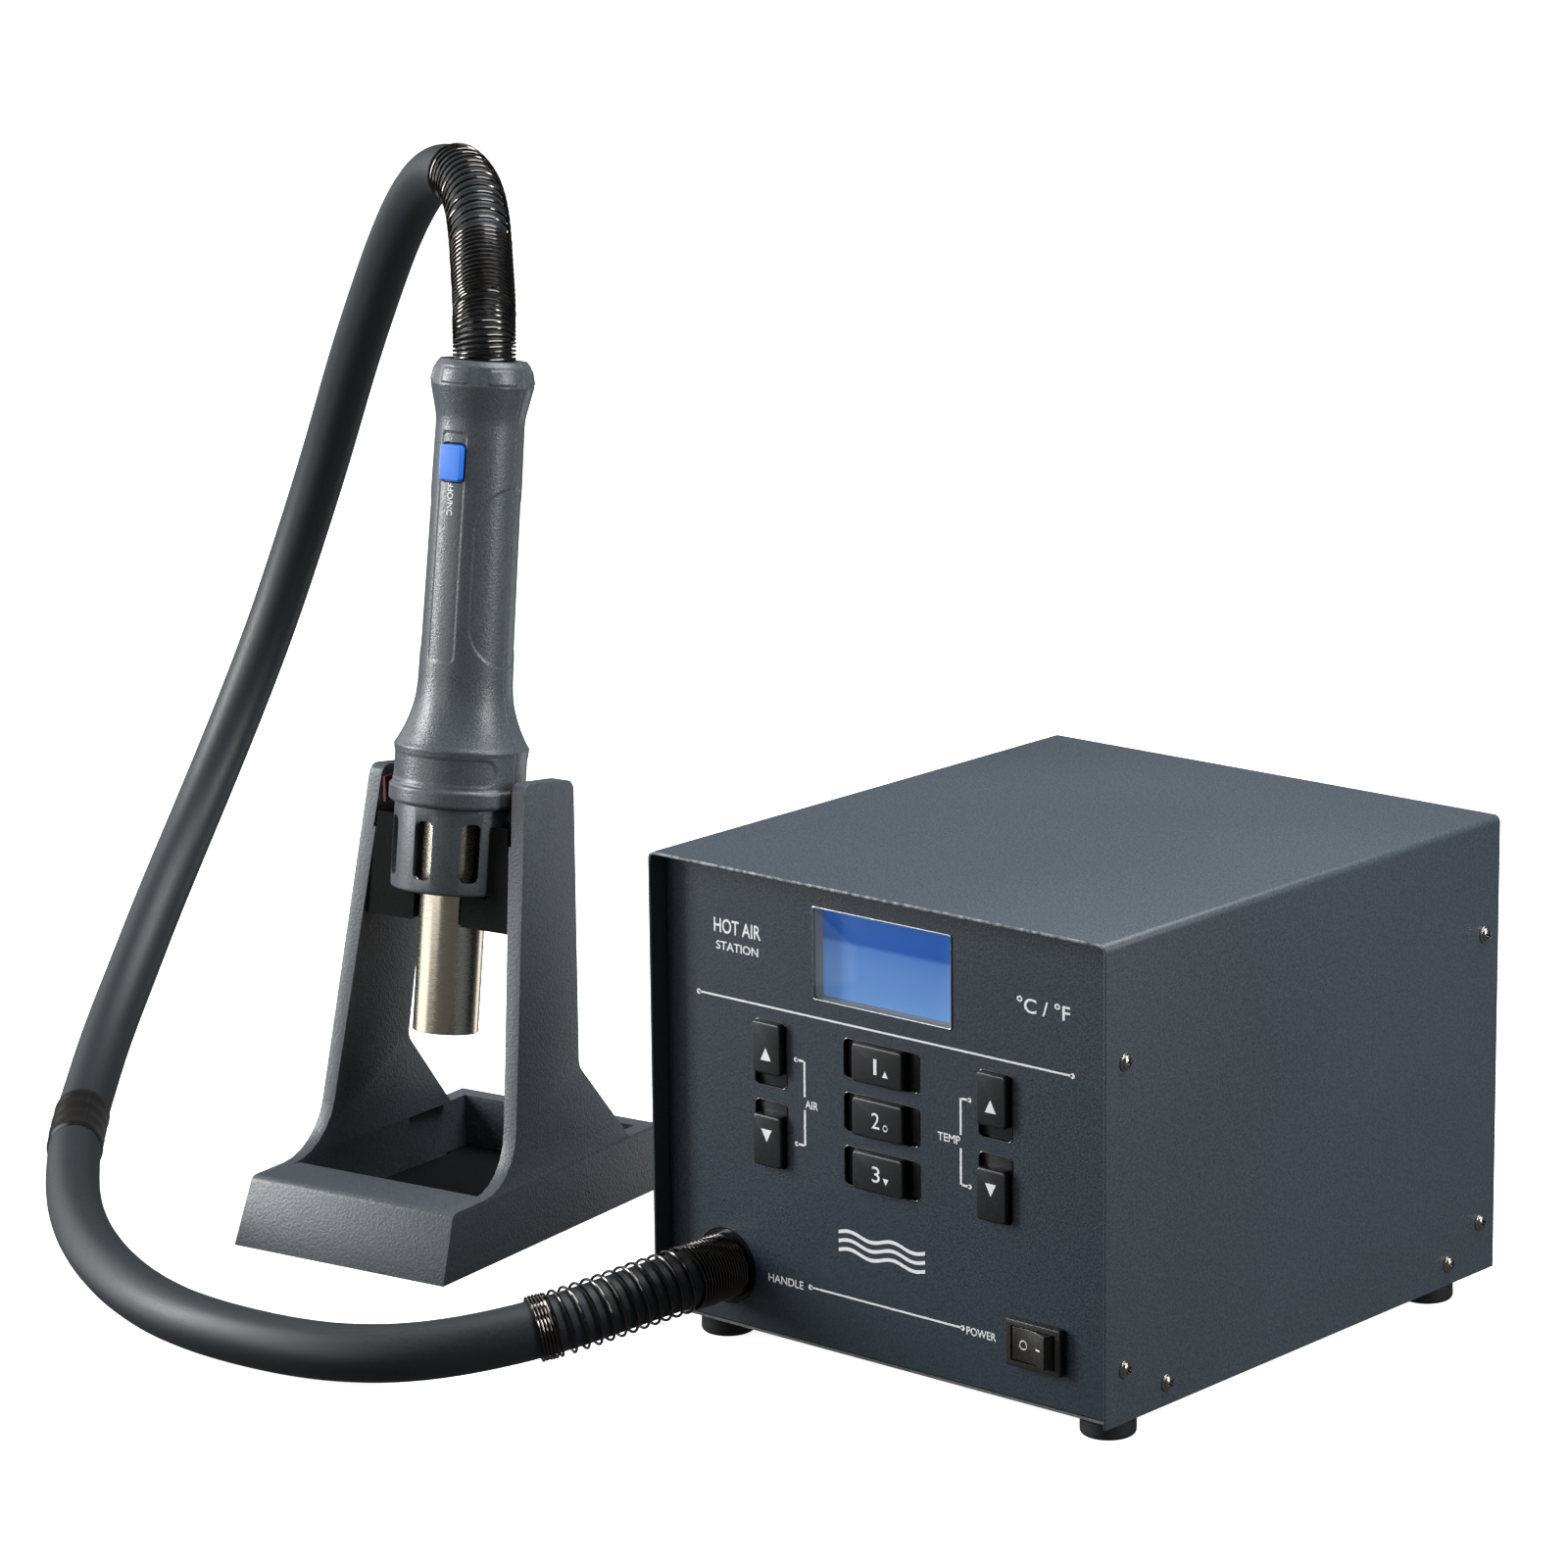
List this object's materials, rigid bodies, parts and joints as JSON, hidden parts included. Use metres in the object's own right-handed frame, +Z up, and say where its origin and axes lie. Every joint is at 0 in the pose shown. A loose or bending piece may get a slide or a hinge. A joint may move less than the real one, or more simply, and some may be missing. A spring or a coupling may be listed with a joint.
{
  "type": "hot air station",
  "caption": "Bench hot air station: a steel blower case with keypad and display, a hose, and a slotted hot air handpiece that hangs nozzle down in a cast stand.",
  "frame": {"origin": "middle of the footprint of the case and the stand, on the surface they stand on", "axes": "+Z up, +X towards the case's right side seen from its front panel, front panel facing -Y"},
  "size_m": [0.5882, 0.3343, 0.3625],
  "materials": {
    "painted_steel": "fine sparkle powder coat, dark blue grey",
    "cover_paint": "fine textured powder coat, slate grey",
    "zinc_steel": "zinc plated sheet",
    "dark_screw": "dark nickel plate",
    "foot_rubber": "matt black rubber",
    "lcd_glass": "clear window over a blue display",
    "lcd_frame": "display module",
    "circuit_board": "green solder mask",
    "key_plastic": "satin black",
    "switch_plastic": "black with a fine grain",
    "blower_plastic": "dark grey moulding",
    "copper_winding": "copper winding on a laminated core",
    "aluminium": "bare aluminium",
    "hose_rubber": "matt dark silicone",
    "spring_steel": "glossy black wire",
    "band_plastic": "glossy black-brown tape",
    "stand_paint": "fine grained grey paint on a casting",
    "stand_insert": "black moulding",
    "red_silicone": "red silicone",
    "handle_plastic": "fine grained grey plastic",
    "button_blue": "satin blue",
    "nozzle_steel": "brushed stainless steel",
    "ceramic": "ceramic heater former"
  },
  "bodies": {
    "station": {"case_cover": "cover_paint", "front_panel": "painted_steel", "rear_panel": "painted_steel", "base_plate": "zinc_steel", "lcd_window": "lcd_glass", "lcd_module": "lcd_frame", "control_board": "circuit_board", "power_switch_housing": "switch_plastic", "hose_outlet": "aluminium", "blower_housing": "blower_plastic", "blower_motor": "aluminium", "outlet_duct": "blower_plastic", "mains_inlet": "switch_plastic", "transformer": "copper_winding", "power_board": "circuit_board", "heat_sink": "aluminium", "stand_frame": "stand_paint", "stand_floor_plate": "stand_insert", "cradle_left": "stand_insert", "cradle_right": "stand_insert", "stand_pad_left": "red_silicone", "stand_pad_right": "red_silicone", "hose": "hose_rubber", "panel_spring": "spring_steel", "handle_spring": "spring_steel", "hose_band": "band_plastic", "foot_front_left": "foot_rubber", "foot_front_right": "foot_rubber", "foot_rear_left": "foot_rubber", "foot_rear_right": "foot_rubber", "cover_screw_left_1": "dark_screw", "cover_screw_left_2": "dark_screw", "cover_screw_left_3": "dark_screw", "cover_screw_left_4": "dark_screw", "cover_screw_left_5": "dark_screw", "cover_screw_left_6": "dark_screw", "cover_screw_right_1": "dark_screw", "cover_screw_right_2": "dark_screw", "cover_screw_right_3": "dark_screw", "cover_screw_right_4": "dark_screw", "cover_screw_right_5": "dark_screw", "cover_screw_right_6": "dark_screw"},
    "air_up_key": {"air_up_key": "key_plastic"},
    "air_down_key": {"air_down_key": "key_plastic"},
    "temp_up_key": {"temp_up_key": "key_plastic"},
    "temp_down_key": {"temp_down_key": "key_plastic"},
    "preset_key_1": {"preset_key_1": "key_plastic"},
    "preset_key_2": {"preset_key_2": "key_plastic"},
    "preset_key_3": {"preset_key_3": "key_plastic"},
    "power_rocker": {"power_rocker": "switch_plastic"},
    "blower_impeller": {"blower_impeller": "blower_plastic"},
    "handpiece": {"handle_front_shell": "handle_plastic", "handle_rear_shell": "handle_plastic", "button_board": "circuit_board", "nozzle_tube": "nozzle_steel", "heater_core": "ceramic", "nozzle_guard": "handle_plastic", "hose_coupling": "stand_insert"},
    "handle_button": {"handle_button": "button_blue"}
  },
  "joints": [
    {"name": "air_up_key_press", "type": "slide", "parent": "station", "child": "air_up_key", "axis": [0, 1, 0], "range_m": [0, 0.0012], "stiffness_N_per_m": 600, "springref_m": -0.0004},
    {"name": "air_down_key_press", "type": "slide", "parent": "station", "child": "air_down_key", "axis": [0, 1, 0], "range_m": [0, 0.0012], "stiffness_N_per_m": 600, "springref_m": -0.0004},
    {"name": "temp_up_key_press", "type": "slide", "parent": "station", "child": "temp_up_key", "axis": [0, 1, 0], "range_m": [0, 0.0012], "stiffness_N_per_m": 600, "springref_m": -0.0004},
    {"name": "temp_down_key_press", "type": "slide", "parent": "station", "child": "temp_down_key", "axis": [0, 1, 0], "range_m": [0, 0.0012], "stiffness_N_per_m": 600, "springref_m": -0.0004},
    {"name": "preset_key_1_press", "type": "slide", "parent": "station", "child": "preset_key_1", "axis": [0, 1, 0], "range_m": [0, 0.0012], "stiffness_N_per_m": 600, "springref_m": -0.0004},
    {"name": "preset_key_2_press", "type": "slide", "parent": "station", "child": "preset_key_2", "axis": [0, 1, 0], "range_m": [0, 0.0012], "stiffness_N_per_m": 600, "springref_m": -0.0004},
    {"name": "preset_key_3_press", "type": "slide", "parent": "station", "child": "preset_key_3", "axis": [0, 1, 0], "range_m": [0, 0.0012], "stiffness_N_per_m": 600, "springref_m": -0.0004},
    {"name": "power_rocker_tilt", "type": "hinge", "parent": "station", "child": "power_rocker", "pos_m": [0.1591, -0.0876, 0.0282], "axis": [0, 0, 1], "range_deg": [0, 20]},
    {"name": "impeller_spin", "type": "hinge", "parent": "station", "child": "blower_impeller", "pos_m": [0.0643, 0.0234, 0.03], "axis": [0, 0, 1], "continuous": true},
    {"name": "handpiece_lift", "type": "slide", "parent": "station", "child": "handpiece", "axis": [-0.0191, 0.1361, 0.9905], "range_m": [0, 0.07], "deforming": ["hose", "handle_spring"]},
    {"name": "handle_button_press", "type": "slide", "parent": "handpiece", "child": "handle_button", "axis": [-0.1379, 0.9809, -0.1374], "range_m": [0, 0.001], "stiffness_N_per_m": 500, "springref_m": -0.0004}
  ]
}
